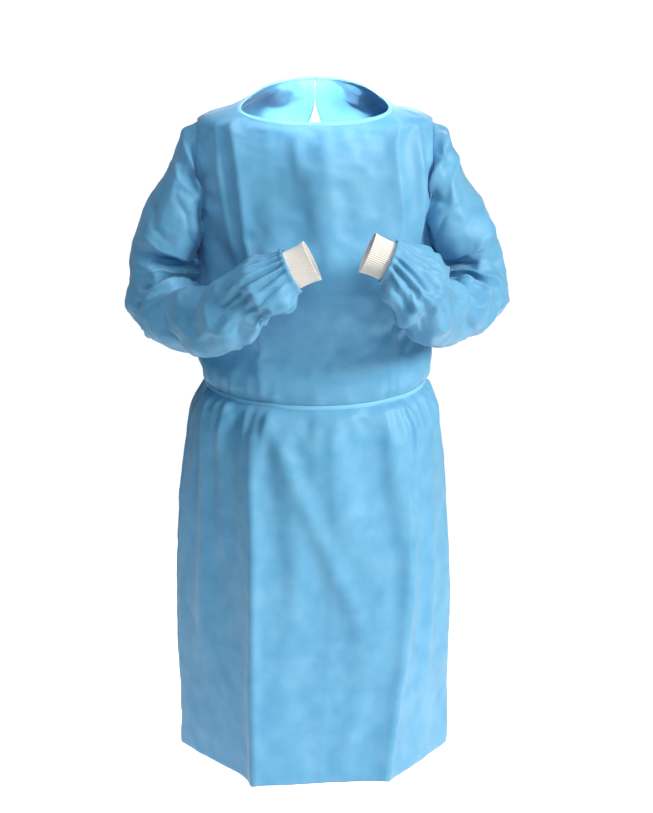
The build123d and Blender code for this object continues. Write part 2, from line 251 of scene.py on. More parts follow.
def body_folds(u, tie, z, points):
    """How far the cloth stands off its smooth form."""
    lift = np.zeros_like(z)
    away = 1 - bump(tie, .010)                   # the tie holds the cloth in
    for place, height, width, lean in GATHERS:
        line = u - place - lean * tie
        below = bump(np.minimum(tie, 0), .075) * (tie < 0)
        above = bump(np.maximum(tie, 0), .045) * (tie >= 0) * .7
        lift += 1.35 * height * ridge(line, width * (1 + np.abs(tie) * 5)) * (below + above)
    for u0, z0, u1, z1, height, width in LONG_FOLDS:
        t = (z - z0) / (z1 - z0)
        line = u - (u0 + (u1 - u0) * t)
        lift += 1.5 * height * bump(line, width) * smoothstep(-.12, .2, t) * smoothstep(1.12, .75, t)
    # Behind the arms the cloth bulges against the sleeves.
    lift += .024 * bump(z + .325, .045) * (bump(u - MARKS[1], .06) + bump(u - MARKS[4], .06))
    # Blousing above the tie, and the cloth's own slow waves.
    lift += .007 * bump(tie - .045, .035) + .004 * bump(tie + .05, .04)
    slow = cloud(points * np.array([1, 1, .55]), .16, 3)
    lift += .0050 * slow * smoothstep(.02, -.05, z) + .0012 * cloud(points, .045, 5)
    lift += (.0013 * crumple(points * np.array([1, 1, .7]), .10, 41)
             + .0005 * crumple(points, .035, 43))
    # Pressed creases from the packing: two upright ones, a faint middle one, and faint level ones.
    for mark, height in ((MARKS[2], .0072), (MARKS[3], .0058)):
        lift += height * ridge(u - mark, .011)
    lift += .0010 * ridge(u - .505, .006) * smoothstep(-.47, -.55, z)
    for level in (-.30, -.66, -.90):
        lift += .0010 * ridge(z - level + .004 * slow, .005)
    for seam in (MARKS[1], MARKS[4]):
        lift -= .0012 * ridge(u - seam, .003)
    slit_edge = smoothstep(.04, 0, np.minimum(u, 1 - u))
    return lift * away * (1 - .7 * slit_edge)


# ---- sleeves as grids: u round the arm from the across direction, v from armhole to cuff ----

def sleeve_frames(side):
    """Centre, tangent, across and up vectors at each station of a sleeve."""
    table = np.array(SLEEVES[side])
    centres, last = table[:, :3], len(table) - 1
    tangents = np.array([centres[min(i + 1, last)] - centres[max(i - 1, 0)]
                         for i in range(last + 1)])
    tangents /= np.linalg.norm(tangents, axis=1)[:, None]
    for i, lean in enumerate(FIRST_LEANS):
        tangents[i] = (SIDES[side] * math.cos(math.radians(lean)), 0,
                       -math.sin(math.radians(lean)))
    rise = math.radians(CUFF_RISES[side])
    tangents[last] = (-SIDES[side] * math.cos(rise), 0, math.sin(rise))
    bend = np.cross(tangents[ELBOW - 1], tangents[ELBOW + 1])
    bend /= np.linalg.norm(bend)
    front = np.array([0, -1.0 if bend[1] < 0 else 1.0, 0])
    across = []
    for i, tangent in enumerate(tangents):
        share = min(1.0, i / ELBOW)
        mixed = front * (1 - share) + bend * share
        mixed = mixed - tangent * mixed.dot(tangent)
        across.append(mixed / np.linalg.norm(mixed))
    across = np.array(across)
    return centres, tangents, across, np.cross(tangents, across), table[:, 3], table[:, 4]


def through(values, t):
    """A smooth curve through values at 0, 1, 2 and so on (Catmull-Rom)."""
    values = np.asarray(values, float)
    padded = np.concatenate([[2 * values[0] - values[1]], values, [2 * values[-1] - values[-2]]])
    k = np.clip(np.floor(t).astype(int), 0, len(values) - 2)
    s = (t - k)[(...,) + (None,) * (values.ndim - 1)]
    a, b, c, d = (padded[k + i] for i in range(4))
    return b + .5 * s * (c - a + s * (2 * a - 5 * b + 4 * c - d + s * (3 * (b - c) + d - a)))


# Sleeve folds: v at the middle, angle round the arm in turns, height, width in v, spread in turns,
# and how far the fold slants. A quarter turn is the outside of the elbow, three quarters its crook.
SLEEVE_FOLDS = [(.405, .74, -.018, .017, .17, .02), (.450, .76, .012, .015, .19, -.03),
                (.497, .75, -.022, .016, .18, .01), (.545, .74, .012, .016, .17, .03),
                (.590, .77, -.014, .015, .15, -.04), (.345, .80, -.012, .018, .13, .05),
                (.300, .95, .010, .022, .12, .09), (.235, .05, -.009, .018, .11, -.08),
                (.470, .16, .008, .022, .13, .06), (.530, .05, -.009, .016, .13, .07),
                (.600, .95, .009, .018, .13, -.06), (.660, .08, -.008, .016, .12, .08),
                (.700, .85, .009, .020, .13, .06), (.745, .98, -.008, .015, .12, -.07),
                (.800, .12, .008, .018, .13, .08), (.840, .90, .009, .018, .12, -.08),
                (.160, .95, -.007, .020, .10, -.10), (.120, .12, .007, .018, .10, .10),
                (.640, .35, .007, .020, .13, .05), (.400, .40, -.006, .020, .12, .05),
                (.250, .45, .006, .022, .12, -.06), (.540, .45, -.007, .018, .12, .06)]
# Soft bulges: v at the middle, width in v, angle in turns, spread in turns, height. They fill the
# sleeve's head, meet the body in front and in the crook, and hang over the cuff's seam.
SLEEVE_BULGES = [(.045, .032, .03, .17, .014), (.19, .10, .90, .12, .014),
                 (.13, .08, 0, .16, .018), (.10, .07, .25, .13, .008), (.31, .09, .82, .14, .018),
                 (.42, .08, .66, .12, .020), (.955, .030, .27, .13, .016)]
CUFF_GATHERS = 17


def sleeve_form(side, u, v, folds=True):
    """A sleeve for grids u (turns) and v (0 at the armhole, 1 at the cuff)."""
    centres, _, across, up, half_up, half_across = sleeve_frames(side)
    t = v * (len(centres) - 1)
    c, x, y = through(centres, t), through(across, t), through(up, t)
    hu, ha = through(half_up, t), through(half_across, t)
    angle = 2 * np.pi * u
    points = (c + x * (ha * np.cos(angle))[..., None] + y * (hu * np.sin(angle))[..., None])
    if not folds:
        return points
    out = normals_of(points, closed=True)
    out *= np.sign((out * (points - c)).sum(-1, keepdims=True).mean())
    lift = np.zeros_like(v)

    def beside(turn):
        """Distance round the arm from a place given for the right sleeve; the left is its mirror."""
        return (u - (turn if SIDES[side] < 0 else 1.5 - turn) + .5) % 1 - .5
    for place, turn, height, width, spread, slant in SLEEVE_FOLDS:
        round_it = beside(turn)
        wander = slant * round_it * 2 + .008 * np.sin(7 * angle + 40 * place)
        lift += height * ridge(v - place - wander, width) * bump(round_it, spread)
    near_cuff = smoothstep(.78, .95, v) * (1 - .6 * smoothstep(.985, 1.0, v))
    wave = np.sin(CUFF_GATHERS * angle + 2.2 * np.sin(2 * angle) + 5 * (1 - v))
    lift += .0042 * near_cuff * wave * (.7 + .5 * np.sin(3 * angle + 1))
    lift += .010 * bump(v - .915, .045) * (.55 + .45 * np.cos(angle - 5.2))
    near_armhole = smoothstep(.18, .03, v) * smoothstep(0, .03, v)
    lift += .0030 * near_armhole * np.sin(9 * angle + 1.3) + .004 * bump(v - .05, .03)
    for place, length, turn, spread, height in SLEEVE_BULGES:
        lift += height * bump(v - place, length) * bump(beside(turn), spread)
    free = smoothstep(0, .08, v) * smoothstep(1, .93, v)
    busy = .3 + 1.0 * bump(v - .52, .17) + .8 * bump(v - .86, .09)
    lift += free * (.0045 * cloud(points, .085, 11 + SIDES[side])
                    + .0050 * busy * crumple(points, .060, 23 + SIDES[side])
                    + .0016 * busy * crumple(points, .026, 31 + SIDES[side]))
    return points + out * (lift - .004 * free)[..., None]


# ---- mesh helpers ----

def add_object(name, data):
    item = bpy.data.objects.new(name, data)
    bpy.context.scene.collection.objects.link(item)
    return item


def grid_mesh(name, points, closed=False, keep=None, uv=None):
    """A mesh of quads over a grid of points; keep says which faces stay."""
    rows, columns = points.shape[:2]
    index = np.arange(rows * columns).reshape(rows, columns)
    right = np.roll(index, -1, axis=1) if closed else index[:, 1:]
    left = index if closed else index[:, :-1]
    faces = np.stack([left[:-1], right[:-1], right[1:], left[1:]], axis=-1)
    if keep is not None:
        faces = faces[keep]
    faces = faces.reshape(-1, 4)
    used, where = np.unique(faces, return_inverse=True)
    flat = points.reshape(-1, 3)[used]
    mesh = bpy.data.meshes.new(name)
    mesh.from_pydata(flat.tolist(), [], where.reshape(-1, 4).tolist())
    if uv is not None:
        layer = mesh.uv_layers.new(name="UVMap")
        # Around a closed tube the last column's faces wrap past the seam.
        span = uv[:, -1:, 0] + (uv[:, 1:2, 0] - uv[:, :1, 0])
        u_left = uv[..., 0].reshape(-1)[faces[:, [0, 3]]]
        corner = uv.reshape(-1, 2)[faces]
        if closed:
            wraps = corner[:, 1, 0] < u_left[:, 0]
            corner[wraps, 1, 0] += float(span.mean())
            corner[wraps, 2, 0] += float(span.mean())
        layer.data.foreach_set("uv", corner.reshape(-1).astype(np.float32))
    mesh.polygons.foreach_set("use_smooth", [True] * len(mesh.polygons))
    mesh.update()
    return add_object(name, mesh)


def thicken(item, thickness):
    """Gives cloth its wall, inwards, with the result in the mesh."""
    modifier = item.modifiers.new("wall", "SOLIDIFY")
    modifier.thickness, modifier.offset = thickness, -1.0
    return bake(item)


def shade_smooth(item):
    item.data.polygons.foreach_set("use_smooth", [True] * len(item.data.polygons))


def bake(item):
    """Puts the modifiers' result into the mesh and removes them."""
    graph = bpy.context.evaluated_depsgraph_get()
    mesh = bpy.data.meshes.new_from_object(item.evaluated_get(graph))
    mesh.name = item.name
    item.modifiers.clear()
    item.data = mesh
    return item


def settled(points, closed, pinned, growth, limit, frames, bending, seed):
    """Cloth simulation: the cloth has a little more length than its form and buckles into folds.
    Returns how far each grid point moved, at most limit."""
    item = grid_mesh(f"settling_{seed}", points, closed)
    group = item.vertex_groups.new(name="held")
    for i in np.flatnonzero(pinned.reshape(-1)).tolist():
        group.add([i], 1.0, "REPLACE")
    modifier = item.modifiers.new("cloth", "CLOTH")
    cloth = modifier.settings
    cloth.quality, cloth.mass, cloth.air_damping = 6, .12, 2.0
    cloth.tension_stiffness = cloth.compression_stiffness = 25
    cloth.shear_stiffness, cloth.bending_stiffness = 8, bending
    cloth.vertex_group_mass = "held"
    cloth.shrink_min = cloth.shrink_max = -growth
    cloth.effector_weights.gravity = .15
    modifier.collision_settings.use_collision = False
    modifier.point_cache.frame_end = frames
    scene = bpy.context.scene
    for step in range(1, frames + 1):
        scene.frame_set(step)
    graph = bpy.context.evaluated_depsgraph_get()
    moved = np.empty(len(item.data.vertices) * 3, np.float32)
    item.evaluated_get(graph).data.vertices.foreach_get("co", moved)
    scene.frame_set(1)
    bpy.data.objects.remove(item)
    shift = moved.reshape(points.shape) - points
    size = np.linalg.norm(shift, axis=-1, keepdims=True)
    return shift * (limit * np.tanh(size / limit) / np.maximum(size, 1e-9))


def finer(values, u, v, closed):
    """A coarse grid's values, read smoothly at the columns u and rows v of a finer one."""
    rows, columns = values.shape[:2]
    by_column = np.swapaxes(values, 0, 1)
    if closed:
        by_column = np.concatenate([by_column[-2:], by_column, by_column[:3]])
        at = u * columns + 2
    else:
        at = u * (columns - 1)
    return through(np.swapaxes(through(by_column, at), 0, 1), v * (rows - 1))


# ---- finishes ----
# The knit's darker colour is painted shade for the hollows between its ribs and loops.
LINEAR = {"gown": (.168, .480, .745, 1), "gown_deep": (.108, .398, .670, 1),
          "tape": (.170, .490, .725, 1), "knit": (.800, .785, .765, 1),
          "knit_deep": (.520, .510, .500, 1), "thread": (.360, .660, .860, 1)}


def group_tree(name, kind, inputs, outputs):
    tree = bpy.data.node_groups.new(name, kind)
    for label, socket, default in inputs:
        made = tree.interface.new_socket(label, in_out="INPUT", socket_type=socket)
        if default is not None:
            made.default_value = default
    for label, socket in outputs:
        tree.interface.new_socket(label, in_out="OUTPUT", socket_type=socket)
    return tree, tree.nodes.new("NodeGroupInput"), tree.nodes.new("NodeGroupOutput")


def node(tree, kind, *filled, **settings):
    """A new node. Each filled pair gives an input, by name or place, its value or its link."""
    made = tree.nodes.new(kind)
    for label, value in settings.items():
        setattr(made, label, value)
    for socket, value in filled:
        if isinstance(value, bpy.types.NodeSocket):
            tree.links.new(value, made.inputs[socket])
        else:
            made.inputs[socket].default_value = value
    return made


def maths(tree, operation, *values):
    return node(tree, "ShaderNodeMath", *enumerate(values), operation=operation).outputs[0]


def give(tree, out, **sockets):
    """Links a tree's results to its outputs."""
    for label, socket in sockets.items():
        tree.links.new(socket, out.inputs[label])


FULL_TURN = 6.2832


def nonwoven_group():
    """Spunbond cloth: cloudy density, loose fibres, and a lattice of tiny bond points."""
    tree, given, out = group_tree(
        "nonwoven", "ShaderNodeTree",
        [("Thin Colour", "NodeSocketColor", LINEAR["gown"]),
         ("Dense Colour", "NodeSocketColor", LINEAR["gown_deep"]),
         ("Cloud Size", "NodeSocketFloat", .035), ("Bond Pitch", "NodeSocketFloat", .0022),
         ("Relief", "NodeSocketFloat", .4)],
        [("Colour", "NodeSocketColor"), ("Roughness", "NodeSocketFloat"),
         ("Normal", "NodeSocketVector")])
    where, given = node(tree, "ShaderNodeTexCoord").outputs, given.outputs
    clouds = node(tree, "ShaderNodeTexNoise", ("Vector", where["Object"]),
                  ("Scale", maths(tree, "DIVIDE", 1.0, given["Cloud Size"])), ("Detail", 5))
    stretch = node(tree, "ShaderNodeMapping", ("Vector", where["UV"]), ("Scale", (900, 260, 1)))
    fibres = node(tree, "ShaderNodeTexNoise", ("Vector", stretch.outputs[0]), ("Scale", 1.0),
                  ("Detail", 3))
    # Bond points: every other crossing of a fine lattice is pressed flat.
    split = node(tree, "ShaderNodeSeparateXYZ", (0, where["UV"]))
    turn = maths(tree, "DIVIDE", FULL_TURN, given["Bond Pitch"])
    waves = [maths(tree, "SINE", maths(tree, "MULTIPLY", split.outputs[i], turn)) for i in (0, 1)]
    points = maths(tree, "GREATER_THAN", maths(tree, "MULTIPLY", *waves), .55)
    density = maths(tree, "ADD", maths(tree, "MULTIPLY", clouds.outputs["Fac"], .75),
                    maths(tree, "MULTIPLY", fibres.outputs["Fac"], .25))
    spread = node(tree, "ShaderNodeMapRange", ("Value", density), ("From Min", .35),
                  ("From Max", .65))
    blend = node(tree, "ShaderNodeMix", ("Factor", spread.outputs[0]), (6, given["Thin Colour"]),
                 (7, given["Dense Colour"]), data_type="RGBA")
    height = maths(tree, "SUBTRACT", maths(tree, "MULTIPLY", fibres.outputs["Fac"], .6),
                   maths(tree, "MULTIPLY", points, .5))
    relief = node(tree, "ShaderNodeBump", ("Distance", .0002), ("Strength", given["Relief"]),
                  ("Height", height))
    give(tree, out, Colour=blend.outputs[2], Normal=relief.outputs[0],
         Roughness=maths(tree, "SUBTRACT", .52, maths(tree, "MULTIPLY", points, .12)))
    return tree


def knit_group():
    """Rib knit: rows of loops across the ribs, and painted shade in the hollows between them."""
    tree, given, out = group_tree(
        "rib_knit", "ShaderNodeTree",
        [("Rib Colour", "NodeSocketColor", LINEAR["knit"]),
         ("Hollow Shade Colour", "NodeSocketColor", LINEAR["knit_deep"]),
         ("Loop Pitch", "NodeSocketFloat", .0012), ("Rib Pitch", "NodeSocketFloat", .0033)],
        [("Colour", "NodeSocketColor"), ("Normal", "NodeSocketVector")])
    where = node(tree, "ShaderNodeTexCoord")
    split = node(tree, "ShaderNodeSeparateXYZ", (0, where.outputs["UV"]))

    def waves(value, pitch):
        turn = maths(tree, "DIVIDE", FULL_TURN, given.outputs[pitch])
        return maths(tree, "MULTIPLY_ADD", maths(tree, "SINE", maths(
            tree, "MULTIPLY", value, turn)), .5, .5)
    ribs = waves(split.outputs[0], "Rib Pitch")
    loops = waves(maths(tree, "MULTIPLY_ADD", ribs, .0005, split.outputs[1]), "Loop Pitch")
    # Painted shade: the colour darkens in the hollows between ribs and between loops, and is
    # lightest on their crests.
    tone = maths(tree, "MULTIPLY_ADD", loops, .35, maths(tree, "MULTIPLY", ribs, .65))
    blend = node(tree, "ShaderNodeMix", ("Factor", tone), (6, given.outputs["Hollow Shade Colour"]),
                 (7, given.outputs["Rib Colour"]), data_type="RGBA")
    relief = node(tree, "ShaderNodeBump", ("Strength", .6), ("Distance", .0004),
                  ("Height", loops))
    give(tree, out, Colour=blend.outputs[2], Normal=relief.outputs[0])
    return tree


NONWOVEN, RIB_KNIT = nonwoven_group(), knit_group()


def new_material(name):
    made = bpy.data.materials.new(name)
    made.use_nodes = True
    return made, made.node_tree, made.node_tree.nodes["Principled BSDF"]


def cloth_finish(name, thin, dense, light_through=.25, relief=.4, cloud_size=.035):
    made, tree, surface = new_material(name)
    pattern = node(tree, "ShaderNodeGroup", node_tree=NONWOVEN)
    for label, value in (("Thin Colour", LINEAR[thin]), ("Dense Colour", LINEAR[dense]),
                         ("Relief", relief), ("Cloud Size", cloud_size)):
        pattern.inputs[label].default_value = value
    for label, socket in (("Colour", "Base Color"), ("Roughness", "Roughness"),
                          ("Normal", "Normal")):
        tree.links.new(pattern.outputs[label], surface.inputs[socket])
    surface.inputs["Specular IOR Level"].default_value = .42
    surface.inputs["Sheen Weight"].default_value = .30
    surface.inputs["Sheen Roughness"].default_value = .45
    if light_through:
        through_cloth = node(tree, "ShaderNodeBsdfTranslucent", ("Color", pattern.outputs["Colour"]))
        mixed = node(tree, "ShaderNodeMixShader", (0, light_through), (1, surface.outputs[0]),
                     (2, through_cloth.outputs[0]))
        tree.links.new(mixed.outputs[0], tree.nodes["Material Output"].inputs["Surface"])
    return made


def knit_finish():
    made, tree, surface = new_material("knit_white")
    pattern = node(tree, "ShaderNodeGroup", node_tree=RIB_KNIT)
    tree.links.new(pattern.outputs["Colour"], surface.inputs["Base Color"])
    tree.links.new(pattern.outputs["Normal"], surface.inputs["Normal"])
    surface.inputs["Roughness"].default_value = .88
    surface.inputs["Sheen Weight"].default_value = .2
    return made


def plain_finish(name, colour, roughness):
    made, _, surface = new_material(name)
    surface.inputs["Base Color"].default_value = colour
    surface.inputs["Roughness"].default_value = roughness
    return made


GOWN_CLOTH = cloth_finish("gown_nonwoven", "gown", "gown_deep")
SLEEVE_CLOTH = cloth_finish("sleeve_nonwoven", "gown", "gown_deep", .32)
TAPE = cloth_finish("folded_tape", "tape", "gown", 0, .5)
KNIT = knit_finish()
THREAD = plain_finish("polyester_thread", LINEAR["thread"], .6)
OVERLOCK = cloth_finish("overlocked_edge", "tape", "gown", 0, .6)


# ---- ribbons and stitches ----

def unit(vectors):
    return vectors / np.maximum(np.linalg.norm(vectors, axis=-1, keepdims=True), 1e-9)


def along(path, closed=False):
    """Directions along a path."""
    path = np.asarray(path, float)
    if closed:
        return unit(np.roll(path, -1, axis=0) - np.roll(path, 1, axis=0))
    return unit(np.gradient(path, axis=0))


def ribbon(name, path, outward, width, thick, finish, closed=False, corner=3.0):
    """A flat tape along a path, its face turned outward. The piece is closed and has round edges."""
    path, outward = np.asarray(path, float), np.asarray(outward, float)
    forward = along(path, closed)
    across = unit(np.cross(outward, forward))
    outward = unit(np.cross(forward, across))
    turn = np.arange(12) / 12 * 2 * np.pi
    c, s = np.cos(turn), np.sin(turn)
    side = width / 2 * np.sign(c) * np.abs(c) ** (2 / corner)
    face = thick / 2 * np.sign(s) * np.abs(s) ** (2 / corner)
    points = (path[:, None] + across[:, None] * side[None, :, None]
              + outward[:, None] * face[None, :, None])
    count, ring = len(path), len(turn)
    index = np.arange(count * ring).reshape(count, ring)
    follow = np.roll(index, -1, axis=1)
    last = count if closed else count - 1
    faces = [[int(index[i, j]), int(follow[i, j]), int(follow[(i + 1) % count, j]),
              int(index[(i + 1) % count, j])] for i in range(last) for j in range(ring)]
    if not closed:
        faces += [index[0][::-1].tolist(), index[-1].tolist()]
    mesh = bpy.data.meshes.new(name)
    mesh.from_pydata(points.reshape(-1, 3).tolist(), [], faces)
    travel = np.concatenate([[0], np.cumsum(np.linalg.norm(np.diff(path, axis=0), axis=1))])
    layer = mesh.uv_layers.new(name="UVMap")
    for polygon in mesh.polygons:
        for loop in polygon.loop_indices:
            vertex = mesh.loops[loop].vertex_index
            layer.data[loop].uv = (side[vertex % ring], travel[vertex // ring])
    mesh.polygons.foreach_set("use_smooth", [len(f) == 4 for f in faces])
    mesh.materials.append(finish)
    item = add_object(name, mesh)
    outwards(item)
    return item


def outwards(item):
    """Turns a closed shell's faces outwards."""
    shell = bmesh.new()
    shell.from_mesh(item.data)
    bmesh.ops.recalc_face_normals(shell, faces=shell.faces)
    shell.to_mesh(item.data)
    shell.free()


def joined(name, items):
    """Makes one piece of several."""
    with bpy.context.temp_override(active_object=items[0], selected_editable_objects=items):
        bpy.ops.object.join()
    items[0].name = items[0].data.name = name
    return items[0]


def dressed(tree, geometry, given, end):
    """Ends a tree: real geometry in the tree's own finish."""
    real = node(tree, "GeometryNodeRealizeInstances", (0, geometry))
    dress = node(tree, "GeometryNodeSetMaterial", ("Geometry", real.outputs[0]),
                 ("Material", given.outputs["Finish"]))
    tree.links.new(dress.outputs[0], end)
    return tree


def stitch_tree():
    """Stitches along a path: short rounded threads laid end to end with gaps."""
    tree, given, out = group_tree(
        "stitch_row", "GeometryNodeTree",
        [("Path", "NodeSocketGeometry", None), ("Pitch", "NodeSocketFloat", .003),
         ("Length", "NodeSocketFloat", .0021), ("Thread", "NodeSocketFloat", .0004),
         ("Lean", "NodeSocketFloat", 0.0), ("Finish", "NodeSocketMaterial", None)],
        [("Stitches", "NodeSocketGeometry")])
    sizes = given.outputs
    curve = node(tree, "GeometryNodeMeshToCurve", ("Mesh", sizes["Path"]))
    spaced = node(tree, "GeometryNodeResampleCurve", ("Curve", curve.outputs[0]),
                  ("Length", sizes["Pitch"]), mode="LENGTH")
    spots = node(tree, "GeometryNodeCurveToPoints", ("Curve", spaced.outputs[0]),
                 mode="EVALUATED")
    thread = node(tree, "GeometryNodeMeshUVSphere", ("Segments", 6), ("Rings", 4),
                  ("Radius", 1.0))
    size = node(tree, "ShaderNodeCombineXYZ", (0, sizes["Thread"]), (1, sizes["Thread"]),
                (2, maths(tree, "MULTIPLY", sizes["Length"], .5)))
    align = node(tree, "FunctionNodeAlignEulerToVector", ("Vector", spots.outputs["Tangent"]),
                 axis="Z")
    turned = node(tree, "ShaderNodeCombineXYZ", (0, sizes["Lean"]))
    lean = node(tree, "FunctionNodeRotateEuler", ("Rotation", align.outputs[0]),
                ("Rotate By", turned.outputs[0]), space="LOCAL")
    place = node(tree, "GeometryNodeInstanceOnPoints", ("Points", spots.outputs["Points"]),
                 ("Instance", thread.outputs["Mesh"]), ("Rotation", lean.outputs[0]),
                 ("Scale", size.outputs[0]))
    return dressed(tree, place.outputs[0], given, out.inputs["Stitches"])


STITCH_ROW = stitch_tree()


def grow(item, tree, **values):
    """Runs a Geometry Nodes tree on a piece, with its inputs by name, and keeps the plain mesh."""
    modifier = item.modifiers.new(tree.name, "NODES")
    modifier.node_group = tree
    for entry in tree.interface.items_tree:
        label = entry.name.replace(" ", "_")
        if getattr(entry, "in_out", "") == "INPUT" and label in values:
            modifier[entry.identifier] = values[label]
    return bake(item)


def stitches(name, paths, pitch=.003, length=.0021, thread=.00035, lean=0.0, closed=False):
    """Rows of stitches along paths of points."""
    points, edges = [], []
    for path in paths:
        first = len(points)
        points += np.asarray(path, float).tolist()
        edges += [(i, i + 1) for i in range(first, len(points) - 1)]
        if closed:
            edges.append((len(points) - 1, first))
    mesh = bpy.data.meshes.new(name)
    mesh.from_pydata(points, edges, [])
    item = grow(add_object(name, mesh), STITCH_ROW, Pitch=pitch, Length=length, Thread=thread,
                Lean=lean, Finish=THREAD)
    shade_smooth(item)
    return item


def wear(item, finish, body=None, replaces=()):
    """Gives a piece its finish and the body that it moves with, and hides the parts that it
    replaces.
    """
    item.data.materials.clear()
    item.data.materials.append(finish)
    if body:
        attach(item, body)
    if replaces:
        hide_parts(*replaces)
    return item


# ---- the gown's panels ----
COLUMNS, ROWS = (54, 46, 44, 44, 54), 230
CLOTH = .0005
fine_u = np.concatenate([np.linspace(MARKS[i], MARKS[i + 1], n, endpoint=False)
                         for i, n in enumerate(COLUMNS)] + [[1.0]])
fine_v = np.linspace(0, 1, ROWS)
U, V = np.meshgrid(fine_u, fine_v)
body = body_form(U, V)
coarse_u, coarse_v = np.linspace(0, 1, 112), np.linspace(0, 1, 96)
CU, CV = np.meshgrid(coarse_u, coarse_v)
coarse = body_form(CU, CV)
coarse_tie = coarse[..., 2] - (WAIST + WAIST_TILT * coarse[..., 1])
held = ((CV > .985) | (np.abs(coarse_tie) < .009) | (armhole_reach(coarse) < 1.12))
moved = settled(coarse, False, held, .012, .0065, 24, .6, 1)
free_cloth = smoothstep(1.0, 1.3, armhole_reach(body))[..., None]
body = body + finer(moved, fine_u, fine_v, False) * free_cloth

# The armhole's edge: grid points just inside it move out to it.
smooth = body_form(U, V, folds=False)
reach = armhole_reach(smooth)
quads = np.stack([reach[:-1, :-1], reach[:-1, 1:], reach[1:, 1:], reach[1:, :-1]], axis=-1)
kept = quads.max(axis=-1) > 1.0
on_edge = np.zeros_like(reach, bool)
for dr, dc in ((0, 0), (0, 1), (1, 0), (1, 1)):
    on_edge[dr:dr + kept.shape[0], dc:dc + kept.shape[1]] |= kept
on_edge &= reach < 1.0
hole_y = ARMHOLE[0] + (smooth[..., 1] - ARMHOLE[0]) / np.maximum(reach, 1e-3)
hole_z = ARMHOLE[1] + (smooth[..., 2] - ARMHOLE[1]) / np.maximum(reach, 1e-3)
wide = np.sqrt(np.clip(1 - ((hole_y - centre_y(hole_z)) / half_depth(hole_z)) ** 2, 0, 1))
edge = np.stack([flat_sided(np.sign(smooth[..., 0]) * half_width(hole_z) * wide, hole_z),
                 hole_y, hole_z], axis=-1)
body = np.where(on_edge[..., None], edge, body)
body_uv = np.stack([U * 1.24, body[..., 2]], axis=-1)
starts = np.cumsum((0,) + COLUMNS)
outward_body = normals_of(body, False)


def panel(name, first, last, node_name):
    part = slice(starts[first], starts[last] + 1)
    item = grid_mesh(name, body[:, part], keep=kept[:, starts[first]:starts[last]],
                     uv=body_uv[:, part])
    thicken(item, CLOTH)
    wear(item, GOWN_CLOTH, "gown", [node_name])
    return item


panel("back_cloth_right", 0, 1, "back_panel_right")
panel("front_cloth", 1, 4, "front_panel")
panel("back_cloth_left", 4, 5, "back_panel_left")

# ---- the sleeves ----
elbow_ends, crooks = {}, {}
for side, sign in SIDES.items():
    ring_u, length_v = np.arange(120) / 120, np.linspace(0, 1, 150)
    SU, SV = np.meshgrid(ring_u, length_v)
    form = sleeve_form(side, SU, SV)
    few_u, few_v = np.arange(56) / 56, np.linspace(0, 1, 66)
    FU, FV = np.meshgrid(few_u, few_v)
    few = sleeve_form(side, FU, FV)
    moved = settled(few, True, (FV < .02) | (FV > .975), .07, .011, 28, .15, 5 + sign)
    form = form + finer(moved, ring_u, length_v, True) * smoothstep(0, .06, SV)[..., None]
    # Past the cuff seam the gathered cloth turns in over it.
    centres, tangents, across, up, _, _ = sleeve_frames(side)
    round_cuff = 2 * np.pi * ring_u[:, None]
    radial = across[-1] * np.cos(round_cuff) + up[-1] * np.sin(round_cuff)
    gather = np.sin(CUFF_GATHERS * round_cuff + 2.2 * np.sin(2 * round_cuff))
    over_seam = [centres[-1] + tangents[-1] * reach_on + radial * (radius + deep * gather)
                 for reach_on, radius, deep in ((.0030, .0372, .0011), (.0062, .0365, .0009),
                                                (.0076, .0352, .0004), (.0072, .0336, 0))]
    form = np.concatenate([form, over_seam])
    crook_column, crook_rows = 90, slice(6, -9)
    crooks[side] = (form[crook_rows, crook_column], normals_of(form, True)[crook_rows, crook_column])
    # The armhole seam: the cloth turns in through the body's edge.
    turned_in = form[:1] * 1.0
    turned_in[..., 1:] = (np.array(ARMHOLE[:2]) + (form[:1, :, 1:] - np.array(ARMHOLE[:2])) * .95)
    turned_in[..., 0] -= sign * .006
    form = np.concatenate([turned_in, form])
    rows_v = np.concatenate([[-.012], length_v, 1 + np.array([.006, .012, .015, .018])])
    uv = np.stack(np.broadcast_arrays(ring_u[None] * .40, rows_v[:, None] * .62), axis=-1)
    item = grid_mesh(f"sleeve_cloth_{side}", form, closed=True, uv=uv)
    thicken(item, CLOTH)
    wear(item, SLEEVE_CLOTH)
    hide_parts(f"sleeve_upper_{side}", f"sleeve_forearm_{side}")
    elbow_ends[side] = [centres[ELBOW] + tangents[ELBOW] * d for d in (-BLEND_REACH, BLEND_REACH)]
    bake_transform(item)

# ---- waist tape ----
turns = np.linspace(0, 2 * np.pi, 240, endpoint=False)
level = np.full_like(turns, WAIST)
for _ in range(6):
    ring = on_body(turns, level)
    level = WAIST + WAIST_TILT * ring[:, 1]
ring_out = np.stack([np.cos(turns) / .18, np.sin(turns) / .124, 0 * turns], axis=-1)
ring = ring + unit(ring_out) * .0011
waist_tape = ribbon("waist_tape", ring, ring_out, .0072, .0016, TAPE, closed=True)
wear(waist_tape, TAPE, "gown", ["waist_tie"])

# ---- neck binding ----
top, below = body[-1], body[-4]
down = unit(below - top)
top_out = unit(np.cross(along(top), -down))
binding = ribbon("neck_binding_tape", top + down * .0020, top_out, .0064, .0024, TAPE)
wear(binding, TAPE, "gown", ["neck_binding"])
row = top + down * .0042 + top_out * .0013
wear(stitches("neck_binding_stitches", [row]), THREAD, "gown")

# ---- seams inside the gown ----
SEAM_WIDTH, SEAM_THICK = .009, .0010


